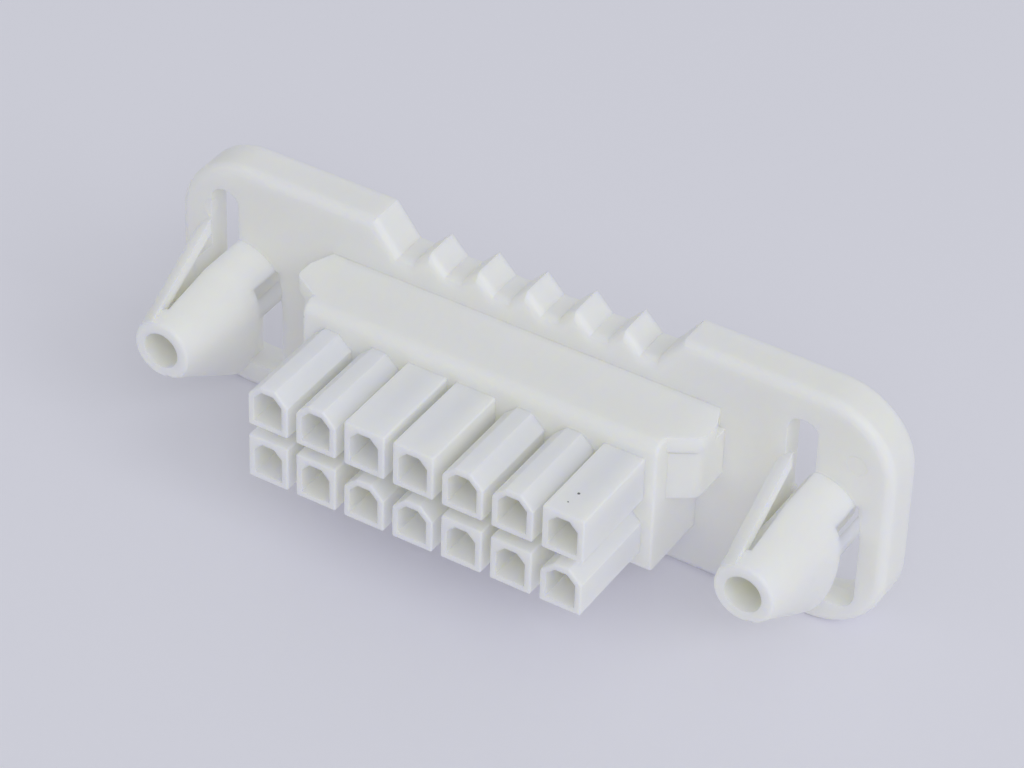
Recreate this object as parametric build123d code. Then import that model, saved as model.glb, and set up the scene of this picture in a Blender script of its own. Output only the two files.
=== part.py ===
"""Two-row socket housing for mounting through a panel, moulded in one piece of nylon.

Frame: the origin is at the middle of the flange's front face, which seats on the panel.
X runs along the rows, +Z is up, and the mating side looks along -Y. All lengths are in millimetres.
"""
import os

from build123d import *

# Contact positions
columns = 7
column_pitch = 4.2
row_pitch = 4.9
upper_row = "DDSSDDS"      # D is a silo with its two upper corners cut off, S is a square one
lower_row = "SSDDSSD"
silo_width = 3.47
silo_height = 3.88
silo_reach = 8.42          # ahead of the collar's face
silo_corner = 1.1
silo_edge = 0.18           # rounding of every outer edge of a silo

# Contact cavities
cavity_width = 2.43
cavity_height = 2.8
cavity_corner = 0.7
chamber_width = 3.1        # behind the silos, for the crimped contact and its wire
chamber_height = 3.5
chamber_stop = 1.2         # thickness of the shoulder behind the collar's face

# Collar that the silos stand on
collar_depth = 6.48
collar_end_wall = 0.915    # outside the outermost silos
collar_edge_wall = 1.45    # above and below the silos
collar_brow = 1.0          # rounding of the upper front edge
collar_edge = 0.3

# Stepped wings at the upper half of the collar's two ends
wing_reach = 2.55          # from the collar's end to the wing's outer side
wing_front = 1.4           # behind the collar's face, where the slanted side starts
wing_slant = 1.35
wing_corner = 0.9
wing_roof = 1.15           # thickness of the slab on top
wing_block_set = 0.3       # how far the block under the slab stands back from the slab's outline

# Mounting flange
flange_length = 61.8
flange_height = 20.5
flange_corner = 6.0
flange_depth = 3.4         # at the rim and behind the collar
flange_wall = 2.0          # over the two pockets in the back
flange_rim = 1.7           # width of the rim round each pocket
flange_edge = 0.8          # rounding of the front edge
back_edge = 0.3

# Ridges along the middle of the flange's upper edge
ridges = columns - 2
ridge_run = 1.45
ridge_rise = 1.5
notch_drop = 2.65          # from the flange's upper edge to the floor of the notches
end_run = 2.1

# Tapered posts with snap arms
post_spacing = 50.2
post_reach = 10.9
post_tip_radius = 2.2
post_radius = 3.42
post_straight = 4.6        # length of the straight part next to the flange
post_tip_edge = 0.25
core_radius = 2.15
post_hole_radius = 1.45
post_hole_depth = 9.0
panel_gap = 2.9            # between the flange and the shoulders that hold the panel
neck_level = 0.3           # the shoulders reach this far past the post's axis
arm_width = 1.2
arm_offset = 1.45          # from the post's axis to the middle of an arm
arm_thickness = 1.05
arm_slope = 32.0           # degrees to the post's axis
arm_root = 0.95            # height of the arm's outer face at the post's tip
arm_end_gap = 2.5          # between an arm's free end and the flange
arm_side_gap = 0.45        # between an arm and the sides of its slot
slot_start = 1.7           # behind the post's tip

# Windows in the flange behind the arms
window_inner = 0.4         # nearest side to the post's axis
upper_window_outer = 2.9
upper_window_reach = 7.7
lower_window_outer = 3.6
lower_window_reach = 7.9
lower_window_corner = 1.5

# Sizes that follow
collar_width = (columns - 1) * column_pitch + silo_width + 2 * collar_end_wall
collar_height = row_pitch + silo_height + 2 * collar_edge_wall
silo_tip_y = -collar_depth - silo_reach
post_slope = (post_radius - post_tip_radius) / (post_reach - post_straight)


def column_x(i):
    """Middle of column i along X."""
    return (i - (columns - 1) / 2) * column_pitch


def along_y(face, front, length):
    """A solid from a face drawn as seen from the mating side, from y = front back to front + length."""
    return extrude(Plane.XZ.offset(-front - length) * face, length)


def keyed(width, height, corner):
    """A rectangle with its two upper corners cut off."""
    face = Rectangle(width, height)
    upper = face.vertices().group_by(Axis.Y)[-1]
    return chamfer(upper, corner)


def silo(form):
    """One contact silo, from its tip back into the collar."""
    face = keyed(silo_width, silo_height, silo_corner) if form == "D" else Rectangle(silo_width, silo_height)
    face = fillet(face.vertices(), silo_edge)
    body = along_y(face, silo_tip_y, silo_reach + collar_depth / 2)
    tip = body.faces().sort_by(Axis.Y)[0]
    return fillet(tip.edges(), silo_edge * 0.8)


def cavity():
    """The way through one silo: a wide chamber at the back and the keyed hole at the front."""
    hole = along_y(keyed(cavity_width, cavity_height, cavity_corner), silo_tip_y - 1, -silo_tip_y)
    stop_y = chamber_stop - collar_depth
    chamber = along_y(Rectangle(chamber_width, chamber_height), stop_y, flange_depth + 1 - stop_y)
    return hole + chamber


def placed(make):
    """One copy of a piece at each contact position; make is called with the silo's form."""
    copies = []
    for z, row in ((row_pitch / 2, upper_row), (-row_pitch / 2, lower_row)):
        for i in range(columns):
            copies.append(Pos(column_x(i), 0, z) * make(row[i % len(row)]))
    return copies


def collar():
    """The block that the silos stand on."""
    block = along_y(Rectangle(collar_width, collar_height), -collar_depth, collar_depth + flange_wall)
    front = block.faces().sort_by(Axis.Y)[0]
    brow = front.edges().sort_by(Axis.Z)[-1]
    block = fillet(brow, collar_brow)
    front = block.faces().sort_by(Axis.Y)[0]
    rest = front.edges().sort_by(Axis.Z)[:-1]
    return fillet(rest, collar_edge)


def wing_outline(inset):
    """Half of the wing's plan, from the collar's middle out to its slanted side, in X and Y."""
    start = collar_width / 2
    tip = start + wing_reach - inset
    front = wing_front - collar_depth + inset
    points = [(0, front), (start, front), (tip, front + wing_slant), (tip, flange_wall), (0, flange_wall)]
    face = make_face(Polyline(*points, close=True))
    turn = face.vertices().sort_by(lambda v: v.X - v.Y)[-1]
    return fillet(turn, wing_corner)


def wing():
    """The stepped wing at the right-hand end: a slab over a slightly smaller block, both above mid height."""
    top = collar_height / 2
    slab = extrude(Pos(0, 0, top - wing_roof) * wing_outline(0), wing_roof)
    block = extrude(wing_outline(wing_block_set), top - wing_roof / 2)
    return slab + block


def notch_line():
    """Points of the notched edge from left to right, ending above the flange."""
    top = flange_height / 2
    floor = top - notch_drop
    first = -(ridges - 1) / 2 * column_pitch
    valley = column_pitch - 2 * ridge_run
    points = [(first - ridge_run - valley - end_run, top), (first - ridge_run - valley, floor)]
    for i in range(ridges):
        x = first + i * column_pitch
        points += [(x - ridge_run, floor), (x, floor + ridge_rise), (x + ridge_run, floor)]
    points += [(-points[1][0], floor), (-points[0][0], top)]
    return points


def flange():
    """The mounting flange with its notched upper edge and two pockets in its back."""
    top = flange_height / 2
    line = notch_line()
    slope = end_run / notch_drop
    above = [(line[-1][0] + slope, top + 1), (line[0][0] - slope, top + 1)]
    outline = RectangleRounded(flange_length, flange_height, flange_corner)
    outline -= make_face(Polyline(*line, *above, close=True))
    body = along_y(outline, 0, flange_depth)
    front = body.faces().sort_by(Axis.Y)[0]
    body = fillet(front.edges(), flange_edge)

    pocket_length = (flange_length - collar_width) / 2 - 2 * flange_rim
    pocket_height = flange_height - 2 * flange_rim
    inner_corner = flange_corner - flange_rim
    pocket_face = RectangleRounded(pocket_length, pocket_height, inner_corner)
    pocket = along_y(pocket_face, flange_wall, flange_depth)
    pocket_x = (flange_length - pocket_length) / 2 - flange_rim
    return body - Pos(pocket_x, 0, 0) * pocket - Pos(-pocket_x, 0, 0) * pocket


def half_turn(shape):
    """The same shape turned half round about the post's axis."""
    return Rot(0, 180, 0) * shape


def arm():
    """The upper snap arm: a flat bar that leaves the post's tip and flares out to a free end."""
    rise = Vector(1, 0).rotate(Axis.Z, arm_slope)
    drop = arm_thickness / rise.X
    run = post_reach - arm_end_gap
    end_z = arm_root + run * rise.Y / rise.X
    start = -post_reach + post_tip_edge
    root_z = arm_root + post_tip_edge * rise.Y / rise.X
    points = [(start, 0), (start, root_z), (-arm_end_gap, end_z), (-arm_end_gap, end_z - drop),
              (-post_reach + slot_start + 0.4, arm_root)]
    face = make_face(Polyline(*points, close=True))
    return extrude(Plane.YZ.offset(-arm_offset - arm_width / 2) * face, arm_width)


def arm_slot():
    """The space round the upper arm, open above and towards the flange, down to the post's core."""
    width = arm_width + 2 * arm_side_gap
    length = post_reach - slot_start
    block = Pos(-arm_offset, -length / 2, post_radius) * Box(width, length, 2 * post_radius)
    return block


def neck_cut():
    """The space behind the shoulder on the upper left of the post."""
    size = 2 * post_radius
    corner = Pos(-size / 2 - window_inner, -panel_gap / 2, size / 2 - neck_level)
    return corner * Box(size, panel_gap, size)


def post():
    """One post with its core, its slotted skirt and both arms."""
    axis_points = [(0, 0), (0, -post_reach), (post_tip_radius, -post_reach), (post_radius, -post_straight),
                   (post_radius, 0)]
    profile = make_face(Polyline(*axis_points, close=True))
    tip = profile.vertices().sort_by(Axis.Y).sort_by(lambda v: (v.Y, -v.X))[0]
    skirt = revolve(fillet(tip, post_tip_edge), Axis.Y)
    core = along_y(Circle(core_radius), -post_reach + post_tip_edge, post_reach - post_tip_edge + flange_wall)
    skirt -= [arm_slot(), half_turn(arm_slot()), neck_cut(), half_turn(neck_cut())]
    body = skirt + core + arm() + half_turn(arm())
    hole = along_y(Circle(post_hole_radius), -post_reach - 1, post_hole_depth + 1)
    return body - hole


def windows():
    """The two openings through the flange at one post."""
    middle = (window_inner + upper_window_outer) / 2
    width = upper_window_outer - window_inner
    upper = Pos(-middle, upper_window_reach / 2) * Rectangle(width, upper_window_reach)
    upper = fillet(upper.vertices().group_by(Axis.Y)[-1], width / 2 * 0.95)
    span = lower_window_outer - window_inner
    height = lower_window_reach + neck_level
    lower = Pos(window_inner + span / 2, neck_level - height / 2) * Rectangle(span, height)
    lower = fillet(lower.vertices().group_by(Axis.X)[-1], lower_window_corner)
    face = upper + lower - Circle(core_radius)
    return along_y(face, -0.5, flange_depth + 1)


def housing():
    """The whole moulding."""
    right = Pos(post_spacing / 2, 0, 0)
    left = Pos(-post_spacing / 2, 0, 0)
    plate = flange()
    plate -= [right * windows(), left * windows()]
    body = plate + collar() + wing() + mirror(wing(), Plane.YZ)
    body += placed(silo)
    body += [right * post(), left * post()]
    return body - placed(lambda form: cavity())


os.makedirs("parts", exist_ok=True)
part = housing()
export_step(part, "parts/housing.step")
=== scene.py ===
"""Finish, stage, light and camera for the socket housing.

The forms are drawn in millimetres and brought to the scene's metres when the moulding is whole.
"""
import math

import bmesh
import bpy
from mathutils import Matrix, Quaternion, Vector


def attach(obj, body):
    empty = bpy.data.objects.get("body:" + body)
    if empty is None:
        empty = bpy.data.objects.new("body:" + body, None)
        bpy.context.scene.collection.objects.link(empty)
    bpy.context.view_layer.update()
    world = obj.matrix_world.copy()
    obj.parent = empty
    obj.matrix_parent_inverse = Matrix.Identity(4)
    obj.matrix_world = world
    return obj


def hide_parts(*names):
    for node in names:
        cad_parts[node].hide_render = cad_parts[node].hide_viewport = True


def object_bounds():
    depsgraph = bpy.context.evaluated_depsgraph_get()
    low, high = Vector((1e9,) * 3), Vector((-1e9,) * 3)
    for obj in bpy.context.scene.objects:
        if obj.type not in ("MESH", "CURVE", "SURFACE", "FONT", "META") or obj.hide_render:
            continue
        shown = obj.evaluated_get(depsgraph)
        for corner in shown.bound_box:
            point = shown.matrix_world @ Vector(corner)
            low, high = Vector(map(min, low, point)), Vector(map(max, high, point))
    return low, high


MM = 0.001

# Camera, as fitted to the photograph
LENS = 144.8
SENSOR = 36
AZIMUTH, ELEVATION, ROLL = 30.61, 38.24, 1.99
AIM = Vector((-0.775, 0, 0.351)) * MM
DISTANCE = 307.2 * MM
CLIP_START = 10 * MM

# Posts, in millimetres, from the post's axis and the flange's face
POST_X = 25.1
POST_REACH = 10.9
POST_TIP_RADIUS = 2.4
POST_RADIUS = 3.55
POST_STRAIGHT = 4.6            # length of the straight part next to the flange
POST_FOOT = 1.0                # how far the post's foot runs into the flange
TIP_EDGE = 0.3
CORE_RADIUS = 2.15
HOLE_RADIUS = 1.5
HOLE_DEPTH = 9.0
PANEL_GAP = 2.9                # between the flange and the shoulders that hold the panel
FLARE_REACH = 7.35             # from the axis to the snap skirt's lowest point
FLARE_WALL = 1.05
FLARE_SLOPE = (FLARE_REACH - POST_TIP_RADIUS) / (POST_REACH - PANEL_GAP)
HOLLOW_START = 1.7             # from the tip to the space behind the snap skirt
SLIT_WIDTH = 0.45              # between the snap skirt and the rest of the post
SLIT_FLOOR = 2.15              # from the axis to the bottom of that slit
ARM_WIDTH = 1.2
ARM_OFFSET = 1.45              # from the axis to the middle of the arm
ARM_GAP = 0.45                 # between the arm and the sides of its slot
FAR = 16.0                     # outside every part of a post

# Windows behind the snap skirt and the arm, in millimetres from the post's axis
WINDOW_INNER = 0.4             # the straight side
WINDOW_LEVEL = 1.9             # the upper end
WINDOW_WIDEST = 3.4            # how far down the window is widest
WINDOW_END = 6.7               # how far down the round end starts
WINDOW_REACH = 7.65            # how far down the window reaches
# The curved side at the upper end, at the widest place and where the round end starts
SKIRT_WINDOW = (3.25, 3.6, 2.8)
ARM_WINDOW = (2.3, 2.9, 2.35)

# Wings at the collar's ends, in millimetres
COLLAR_END = 15.25
COLLAR_TOP = 5.84
WING_FRONT = -5.08
WING_REACH = 2.3
WING_SLANT = 1.35              # how far back the slanted front goes
WING_CORNER = 1.0
WING_TAIL = 2.0                # length of the turned-in tail next to the flange
WING_TAIL_SET = 0.8            # how far the tail turns in
WING_ROOF = 1.35               # thickness of the slab on top
WING_GROOVE = 0.35             # height of the groove under the slab
WING_GROOVE_DEPTH = 0.9
WING_BLOCK_SET = 0.3           # how far the block under the groove stands back
WING_NECK_FOOT = 0.5           # level where the neck inside the groove starts
SEAT = 1.25                    # how far a wing runs into the collar
WALL = 2.0                     # thickness of the flange over its pockets

# Blocks that clear the plain posts and wings away, in millimetres
CLEAR_INSIDE = 4.6             # from the post's axis towards the collar
CLEAR_OUTSIDE = 5.0            # from the post's axis the other way
CLEAR_HEIGHT = 9.0             # above and below the post's axis
CLEAR_REACH = 3.5              # from the collar's end, past the wing
CLEAR_AHEAD = 0.3
CLEAR_MARGIN = 1.0             # above and below the wing

# Fineness of the curves and of the mesh
TURN_STEPS = 72
TIP_STEPS = 4
CORNER_STEPS = 6
WINDOW_SIDE_STEPS = 12
WINDOW_END_STEPS = 8
SHARP = math.radians(28)       # edges that turn more than this stay sharp
WELD = 0.0005                  # corners nearer than this are one corner
FLAT_WEIGHT = 100              # large flat faces set the normals at their edges

HALF_TURN = Matrix.Rotation(math.pi, 4, "Y")
MIRROR = Matrix.Scale(-1, 4, (1, 0, 0))

# Nylon
NYLON = (0.935, 0.938, 0.92)
NYLON_WARM = (0.935, 0.93, 0.89)
NYLON_IOR = 1.5
NYLON_ROUGHNESS = (0.36, 0.5)
NYLON_DEPTH = 1.1 * MM         # how far light spreads inside it
NYLON_SPREAD = (1.0, 0.94, 0.6)    # the share of that depth for red, green and blue
CLOUD = 6.0 * MM               # size of the faint patches of colour
CLOUD_LEVELS = (0.35, 0.7)     # levels of the noise at which the two colours are pure
SHEEN = 2.0 * MM               # size of the patches of roughness
SHEEN_LEVELS = (0.3, 0.7)
GRAIN = 0.16 * MM              # size of the mould's fine texture
GRAIN_HEIGHT = 0.004 * MM
WAVE = 2.5 * MM                # size of the faces' slight unevenness
WAVE_HEIGHT = 0.03 * MM

# Dark specks on the moulding: place and radius, in millimetres
SPECKS = [
    ((-15.1, -6.3, 4.6), 0.16),
    ((12.35, -12.4, 4.39), 0.13),
    ((12.2, -13.6, 4.39), 0.08),
]
SPECK_COLOUR = (0.12, 0.12, 0.13)
SPECK_GRAIN = 0.1 * MM         # size of the unevenness of a speck's rim
SPECK_FADE = 1.6               # a speck ends at this many radii

# Marks that the ejector pins leave on the flange's face: X and Z in millimetres
EJECTOR_MARKS = [(27.9, 5.5), (-27.9, 5.5)]
EJECTOR_RADIUS = 0.8 * MM
EJECTOR_EDGE = 0.08 * MM
EJECTOR_DEPTH = 0.04 * MM

# Stage and light, in metres and watts
TABLE = (0.89, 0.88, 0.955)
TABLE_ROUGHNESS = 0.35
TABLE_SPECULAR = 0.25
TABLE_SIZE = 3.0
WORLD_STRENGTH = 0.56
LAMP_COLOUR = (0.95, 0.97, 1.0)
LAMP_SIZE = 0.6
FRONT_PLACE, FRONT_POWER = (0.62, -0.82, 0.86), 2.4
KEY_PLACE, KEY_POWER = (1.0, -0.25, 0.7), 2.3
LIGHT_BOUNCES = 32


def node(tree, kind, **values):
    """A new node in a material's tree, with its plain properties set."""
    made = tree.nodes.new(kind)
    for name, value in values.items():
        setattr(made, name, value)
    return made


def joined(tree, *links):
    """Links pairs of sockets."""
    for start, end in links:
        tree.links.new(start, end)


def new_material(name):
    """An empty node material with its Principled shader."""
    material = bpy.data.materials.new(name)
    material.use_nodes = True
    return material, material.node_tree, material.node_tree.nodes["Principled BSDF"]


def noise(tree, place, size, detail):
    """A noise texture whose features are about one size across."""
    made = node(tree, "ShaderNodeTexNoise")
    made.inputs["Scale"].default_value = 1 / size
    made.inputs["Detail"].default_value = detail
    joined(tree, (place, made.inputs["Vector"]))
    return made.outputs["Fac"]


def ramp(tree, value, low, high, out_low=0.0, out_high=1.0):
    """A smooth step of a value between two levels."""
    made = node(tree, "ShaderNodeMapRange", interpolation_type="SMOOTHSTEP")
    levels = {"From Min": low, "From Max": high, "To Min": out_low, "To Max": out_high}
    for name, level in levels.items():
        made.inputs[name].default_value = level
    joined(tree, (value, made.inputs["Value"]))
    return made.outputs["Result"]


def maths(tree, operation, *values):
    """A math node on sockets or numbers."""
    made = node(tree, "ShaderNodeMath", operation=operation)
    for slot, value in zip(made.inputs, values):
        if isinstance(value, (int, float)):
            slot.default_value = value
        else:
            joined(tree, (value, slot))
    return made.outputs[0]


def mixed(tree, factor, first, second):
    """A mix of two colours, each a socket or a plain colour."""
    made = node(tree, "ShaderNodeMix", data_type="RGBA")
    joined(tree, (factor, made.inputs["Factor"]))
    # Inputs 6 and 7 and output 2 are the ones for colours
    for slot, value in ((made.inputs[6], first), (made.inputs[7], second)):
        if isinstance(value, tuple):
            slot.default_value = (*value, 1)
        else:
            joined(tree, (value, slot))
    return made.outputs[2]


def distance_from(tree, place, point):
    """Distance of the shaded place from a fixed point of the part, given in millimetres."""
    made = node(tree, "ShaderNodeVectorMath", operation="DISTANCE")
    made.inputs[1].default_value = Vector(point) * MM
    joined(tree, (place, made.inputs[0]))
    return made.outputs["Value"]


def nylon_colour(tree, place):
    """Faint patches of a warmer white, and a few dark specks."""
    cloud = noise(tree, place, CLOUD, 3)
    colour = mixed(tree, ramp(tree, cloud, *CLOUD_LEVELS), NYLON, NYLON_WARM)
    for point, size in SPECKS:
        radius = size * MM
        away = distance_from(tree, place, point)
        rough = maths(tree, "MULTIPLY", noise(tree, place, SPECK_GRAIN, 2), radius)
        uneven = maths(tree, "ADD", away, rough)
        dark = ramp(tree, uneven, radius, radius * SPECK_FADE, 1.0, 0.0)
        colour = mixed(tree, dark, colour, SPECK_COLOUR)
    return colour


def nylon_height(tree, place):
    """The mould's grain, a slight unevenness and the ejector marks, as a height in metres."""
    grain = maths(tree, "MULTIPLY", noise(tree, place, GRAIN, 3), GRAIN_HEIGHT)
    wave = maths(tree, "MULTIPLY", noise(tree, place, WAVE, 2), WAVE_HEIGHT)
    height = maths(tree, "ADD", grain, wave)
    for x, z in EJECTOR_MARKS:
        away = distance_from(tree, place, (x, 0, z))
        start, end = EJECTOR_RADIUS - EJECTOR_EDGE, EJECTOR_RADIUS + EJECTOR_EDGE
        height = maths(tree, "ADD", height, ramp(tree, away, start, end, -EJECTOR_DEPTH, 0.0))
    return height


def nylon():
    """Natural nylon: satin, faintly grained, with light that spreads inside it."""
    material, tree, shader = new_material("natural_nylon")
    place = node(tree, "ShaderNodeTexCoord").outputs["Object"]
    roughness = ramp(tree, noise(tree, place, SHEEN, 4), *SHEEN_LEVELS, *NYLON_ROUGHNESS)
    shader.inputs["Subsurface Weight"].default_value = 1.0
    shader.inputs["Subsurface Radius"].default_value = NYLON_SPREAD
    shader.inputs["Subsurface Scale"].default_value = NYLON_DEPTH
    shader.inputs["IOR"].default_value = NYLON_IOR
    bump = node(tree, "ShaderNodeBump")
    bump.inputs["Strength"].default_value = 1.0
    bump.inputs["Distance"].default_value = 1.0
    joined(tree,
           (nylon_colour(tree, place), shader.inputs["Base Color"]),
           (roughness, shader.inputs["Roughness"]),
           (nylon_height(tree, place), bump.inputs["Height"]),
           (bump.outputs["Normal"], shader.inputs["Normal"]))
    return material


def shown(mesh, name="form"):
    """An object for a mesh, with its faces turned outwards."""
    form = bmesh.new()
    form.from_mesh(mesh)
    bmesh.ops.remove_doubles(form, verts=form.verts, dist=WELD)
    bmesh.ops.recalc_face_normals(form, faces=form.faces)
    form.to_mesh(mesh)
    form.free()
    made = bpy.data.objects.new(name, mesh)
    bpy.context.scene.collection.objects.link(made)
    return made


def solid(rings):
    """A closed form through rings of equally many points."""
    count = len(rings[0])
    faces = [tuple(range(count)), tuple(range((len(rings) - 1) * count, len(rings) * count))]
    for r in range(len(rings) - 1):
        for i in range(count):
            a, b = r * count + i, r * count + (i + 1) % count
            faces.append((a, b, b + count, a + count))
    mesh = bpy.data.meshes.new("form")
    mesh.from_pydata([point for ring in rings for point in ring], [], faces)
    return shown(mesh)


def along_y(outline, front, back):
    """A form with one outline, of X and Z, from front to back."""
    return solid([[(x, y, z) for x, z in outline] for y in (front, back)])


def upright(outline, low, high):
    """A form with one plan, of X and Y, from low to high."""
    return solid([[(x, y, z) for x, y in outline] for z in (low, high)])


def block(x_low, x_high, y_low, y_high, z_low, z_high):
    """A plain block between two levels each way."""
    return along_y([(x_low, z_low), (x_high, z_low), (x_high, z_high), (x_low, z_high)], y_low, y_high)


def circle(radius):
    """Points round a circle."""
    turns = [2 * math.pi * i / TURN_STEPS for i in range(TURN_STEPS)]
    return [(radius * math.cos(t), radius * math.sin(t)) for t in turns]


def worked(piece, operation, tool):
    """A piece after another was added to it, cut from it or crossed with it."""
    step = piece.modifiers.new("step", "BOOLEAN")
    step.operation, step.solver, step.object = operation, "MANIFOLD", tool
    mesh = bpy.data.meshes.new_from_object(piece.evaluated_get(bpy.context.evaluated_depsgraph_get()))
    piece.modifiers.clear()
    piece.data = mesh
    bpy.data.objects.remove(tool)
    return piece


def gathered(forms):
    """One object from pairs of a form and its transform; the forms are used up."""
    whole = bmesh.new()
    for form, place in forms:
        mesh = form.data.copy()
        mesh.transform(place)
        whole.from_mesh(mesh)
    for form in {form for form, place in forms}:
        bpy.data.objects.remove(form)
    mesh = bpy.data.meshes.new("form")
    whole.to_mesh(mesh)
    whole.free()
    return shown(mesh)


def moved(x):
    """A transform that moves a form along X."""
    return Matrix.Translation((x, 0, 0))


def post_radius(y):
    """The post's radius at one y."""
    taper = (POST_RADIUS - POST_TIP_RADIUS) / (POST_REACH - POST_STRAIGHT)
    return POST_TIP_RADIUS + taper * (min(y, -POST_STRAIGHT) + POST_REACH)


def cone():
    """The plain tapered post, rounded at its tip, with its foot in the flange."""
    start = TIP_EDGE - POST_REACH
    rings = [(POST_RADIUS, POST_FOOT), (POST_RADIUS, -POST_STRAIGHT)]
    for k in range(TIP_STEPS + 1):
        turn = math.pi / 2 * k / TIP_STEPS
        inward, ahead = TIP_EDGE * (1 - math.cos(turn)), TIP_EDGE * math.sin(turn)
        rings.append((post_radius(start) - inward, start - ahead))
    return solid([[(x, y, z) for x, z in circle(radius)] for radius, y in rings])


def flare(start, end, inset=0):
    """The flared form of the snap skirt: round above the axis, drawn out to half an ellipse below it."""
    rings = []
    for y in (start, -POST_STRAIGHT, end):
        side = post_radius(y) - inset
        down = POST_TIP_RADIUS + FLARE_SLOPE * (y + POST_REACH) - inset * math.hypot(1, FLARE_SLOPE)
        rings.append([(x, y, z * (1 if z > 0 else down / side)) for x, z in circle(side)])
    return solid(rings)


def flare_outside():
    """The outside of the snap skirt and the arm."""
    return flare(TIP_EDGE / 2 - POST_REACH, -PANEL_GAP)


def flare_inside():
    """The space inside them, open towards the flange."""
    return flare(HOLLOW_START - POST_REACH, SLIT_WIDTH - PANEL_GAP, FLARE_WALL)


def lower(x_low, x_high):
    """A block below the post's axis, between two places along X."""
    return block(x_low, x_high, -FAR, POST_FOOT, -FAR, 0)


def arm():
    """The narrow snap arm at the upper left."""
    strip = worked(flare_outside(), "DIFFERENCE", flare_inside())
    strip = worked(strip, "INTERSECT", lower(ARM_OFFSET - ARM_WIDTH / 2, ARM_OFFSET + ARM_WIDTH / 2))
    return gathered([(strip, HALF_TURN)])


def post():
    """One post with its broad snap skirt at the lower right and its narrow arm at the upper left."""
    hollow_y = HOLLOW_START - POST_REACH
    slot_side = ARM_WIDTH / 2 + ARM_GAP
    slit_end = WINDOW_INNER + SLIT_WIDTH
    body = worked(cone(), "UNION", worked(flare_outside(), "INTERSECT", lower(slit_end, FAR)))
    body = worked(body, "DIFFERENCE", worked(flare_inside(), "INTERSECT", lower(WINDOW_INNER, FAR)))
    slot = block(-ARM_OFFSET - slot_side, -ARM_OFFSET + slot_side, hollow_y, 0, 0, FAR)
    body = worked(body, "DIFFERENCE", slot)
    slit = block(WINDOW_INNER, slit_end, -FAR, 2 * POST_FOOT, -FAR, -SLIT_FLOOR)
    body = worked(body, "DIFFERENCE", slit)
    body = worked(body, "UNION", arm())
    body = worked(body, "UNION", along_y(circle(CORE_RADIUS), TIP_EDGE - POST_REACH, POST_FOOT / 2))
    return worked(body, "DIFFERENCE", along_y(circle(HOLE_RADIUS), -FAR, HOLE_DEPTH - POST_REACH))


def window(curve):
    """The way through the flange behind a skirt or an arm, with the post's core left in it."""
    start, widest, end = curve
    outline = [(WINDOW_INNER, WINDOW_LEVEL)]
    for k in range(WINDOW_SIDE_STEPS + 1):
        z = WINDOW_LEVEL - (WINDOW_LEVEL + WINDOW_END) * k / WINDOW_SIDE_STEPS
        if z > -WINDOW_WIDEST:
            side, span = start, WINDOW_LEVEL + WINDOW_WIDEST
        else:
            side, span = end, WINDOW_END - WINDOW_WIDEST
        share = (z + WINDOW_WIDEST) / span
        outline.append((widest - (widest - side) * share ** 2, z))
    middle, half = (WINDOW_INNER + end) / 2, (end - WINDOW_INNER) / 2
    for k in range(1, WINDOW_END_STEPS + 1):
        turn = math.pi * k / WINDOW_END_STEPS
        z = -WINDOW_END - (WINDOW_REACH - WINDOW_END) * math.sin(turn)
        outline.append((middle + half * math.cos(turn), z))
    cut = along_y(outline, -PANEL_GAP, 3 * WALL)
    return worked(cut, "DIFFERENCE", along_y(circle(CORE_RADIUS), -FAR, FAR))


def rounded(before, corner, after):
    """Points of the arc that rounds one corner of a wing's plan."""
    corner = Vector(corner)
    one, two = (Vector(before) - corner).normalized(), (Vector(after) - corner).normalized()
    half = one.angle(two) / 2
    middle = corner + (one + two).normalized() * WING_CORNER / math.sin(half)
    start, end = (corner + side * WING_CORNER / math.tan(half) - middle for side in (one, two))
    return [tuple(middle + start.slerp(end, k / CORNER_STEPS)) for k in range(CORNER_STEPS + 1)]


def wing_plan(inset, tail_set=0):
    """The right-hand wing's plan, from inside the collar out to its slanted side."""
    tip, front = COLLAR_END + WING_REACH - inset, WING_FRONT + inset
    slant = (tip, front + WING_SLANT)
    tail = (tip, -WING_TAIL)
    end = (tip - tail_set, 0)
    plan = [(COLLAR_END - SEAT, front), (COLLAR_END, front), *rounded((COLLAR_END, front), slant, tail)]
    if tail_set:
        plan += rounded(slant, tail, end)
    return plan + [end, (end[0], WALL / 2), (COLLAR_END - SEAT, WALL / 2)]


def wing():
    """The stepped wing: a slab over a slightly smaller block, with a groove between."""
    slab = upright(wing_plan(0, WING_TAIL_SET), COLLAR_TOP - WING_ROOF, COLLAR_TOP)
    neck = upright(wing_plan(WING_BLOCK_SET + WING_GROOVE_DEPTH), WING_NECK_FOOT, COLLAR_TOP - WING_ROOF / 2)
    foot = upright(wing_plan(WING_BLOCK_SET), 0, COLLAR_TOP - WING_ROOF - WING_GROOVE)
    return worked(worked(slab, "UNION", neck), "UNION", foot)


def plain_ends():
    """The space that the plain posts and wings take up."""
    old_post = block(POST_X - CLEAR_INSIDE, POST_X + CLEAR_OUTSIDE, -FAR, 0, -CLEAR_HEIGHT, CLEAR_HEIGHT)
    old_wing = block(COLLAR_END, COLLAR_END + CLEAR_REACH, WING_FRONT - CLEAR_AHEAD, 0,
                     -CLEAR_MARGIN, COLLAR_TOP + CLEAR_MARGIN)
    one_end = gathered([(old_post, moved(0)), (old_wing, moved(0))])
    return gathered([(one_end, moved(0)), (one_end, MIRROR)])


def fine_ends():
    """The posts and wings at both ends."""
    one_post, one_wing = post(), wing()
    return gathered([(one_post, moved(POST_X)), (one_post, moved(-POST_X)),
                     (one_wing, moved(0)), (one_wing, MIRROR)])


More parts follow.
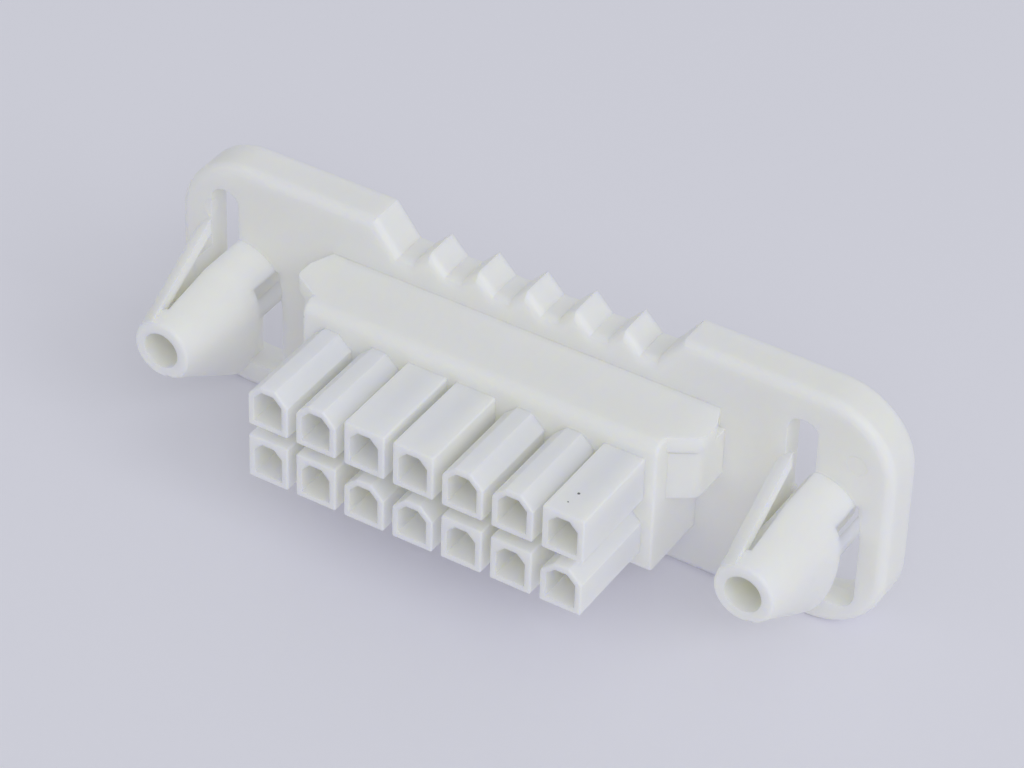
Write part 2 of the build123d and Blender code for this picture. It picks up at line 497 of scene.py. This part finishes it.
def windows():
    """The ways through the flange behind the skirts and the arms."""
    skirt_side, arm_side = window(SKIRT_WINDOW), window(ARM_WINDOW)
    cuts = []
    for x in (POST_X, -POST_X):
        cuts += [(skirt_side, moved(x)), (arm_side, moved(x) @ HALF_TURN)]
    return gathered(cuts)


def finish_faces(piece):
    """Smooth faces between sharp edges, with flat faces kept flat."""
    form = bmesh.new()
    form.from_mesh(piece.data)
    bmesh.ops.remove_doubles(form, verts=form.verts, dist=WELD)
    bmesh.ops.dissolve_degenerate(form, edges=form.edges, dist=WELD)
    for face in form.faces:
        face.smooth = True
    for edge in form.edges:
        edge.smooth = len(edge.link_faces) == 2 and edge.calc_face_angle() < SHARP
    form.to_mesh(piece.data)
    form.free()
    piece.data.transform(Matrix.Scale(MM, 4))
    normals = piece.modifiers.new("normals", "WEIGHTED_NORMAL")
    normals.keep_sharp = True
    normals.weight = FLAT_WEIGHT


def moulding(plain):
    """The housing with the finer forms of its posts and wings in place of the plain ones."""
    mesh = plain.data.copy()
    mesh.transform(Matrix.Scale(1 / MM, 4))
    piece = shown(mesh, "moulding")
    piece = worked(piece, "DIFFERENCE", plain_ends())
    piece = worked(piece, "UNION", fine_ends())
    piece = worked(piece, "DIFFERENCE", windows())
    finish_faces(piece)
    piece.data.materials.clear()
    piece.data.materials.append(nylon())
    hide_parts(plain.name)
    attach(piece, "root")


def table(level):
    """The pale table, a smooth sheet that reaches past the camera's view."""
    bpy.ops.mesh.primitive_plane_add(size=TABLE_SIZE, location=(0, 0, level))
    sheet = bpy.context.object
    sheet.name = "table"
    material, _, shader = new_material("table")
    shader.inputs["Base Color"].default_value = (*TABLE, 1)
    shader.inputs["Roughness"].default_value = TABLE_ROUGHNESS
    shader.inputs["Specular IOR Level"].default_value = TABLE_SPECULAR
    sheet.data.materials.append(material)


def lamp(name, place, power):
    """A square soft light that points at the part."""
    light = bpy.data.lights.new(name, "AREA")
    light.shape = "SQUARE"
    light.size = LAMP_SIZE
    light.energy = power
    light.color = LAMP_COLOUR
    made = bpy.data.objects.new(name, light)
    made.location = place
    made.rotation_mode = "QUATERNION"
    made.rotation_quaternion = (-Vector(place)).to_track_quat("-Z", "Y")
    bpy.context.scene.collection.objects.link(made)


def lights():
    """Even light all round, and two broad lamps, in front and on the right."""
    world = bpy.data.worlds.new("studio")
    bpy.context.scene.world = world
    world.use_nodes = True
    background = world.node_tree.nodes["Background"]
    background.inputs["Color"].default_value = (*LAMP_COLOUR, 1)
    background.inputs["Strength"].default_value = WORLD_STRENGTH
    lamp("front", FRONT_PLACE, FRONT_POWER)
    lamp("key", KEY_PLACE, KEY_POWER)


def camera():
    """The camera at the photograph's place."""
    az, el = math.radians(AZIMUTH), math.radians(ELEVATION)
    back = Vector((math.sin(az) * math.cos(el), -math.cos(az) * math.cos(el), math.sin(el)))
    data = bpy.data.cameras.new("camera")
    data.lens = LENS
    data.sensor_width = SENSOR
    data.clip_start = CLIP_START
    made = bpy.data.objects.new("camera", data)
    made.location = AIM + back * DISTANCE
    made.rotation_mode = "QUATERNION"
    made.rotation_quaternion = (-back).to_track_quat("-Z", "Y") @ Quaternion((0, 0, 1), math.radians(ROLL))
    bpy.context.scene.collection.objects.link(made)
    bpy.context.scene.camera = made


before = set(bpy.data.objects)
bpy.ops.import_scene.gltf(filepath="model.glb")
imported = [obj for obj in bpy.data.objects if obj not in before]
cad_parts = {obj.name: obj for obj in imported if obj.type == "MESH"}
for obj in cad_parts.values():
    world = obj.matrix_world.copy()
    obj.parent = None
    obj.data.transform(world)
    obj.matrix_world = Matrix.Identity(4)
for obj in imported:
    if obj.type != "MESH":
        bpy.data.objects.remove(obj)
cad_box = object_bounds()
moulding(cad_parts["housing"])
table(cad_box[0].z)
lights()
camera()
bpy.context.scene.view_settings.view_transform = "Standard"
bpy.context.scene.cycles.max_bounces = LIGHT_BOUNCES
bpy.context.scene.cycles.diffuse_bounces = LIGHT_BOUNCES
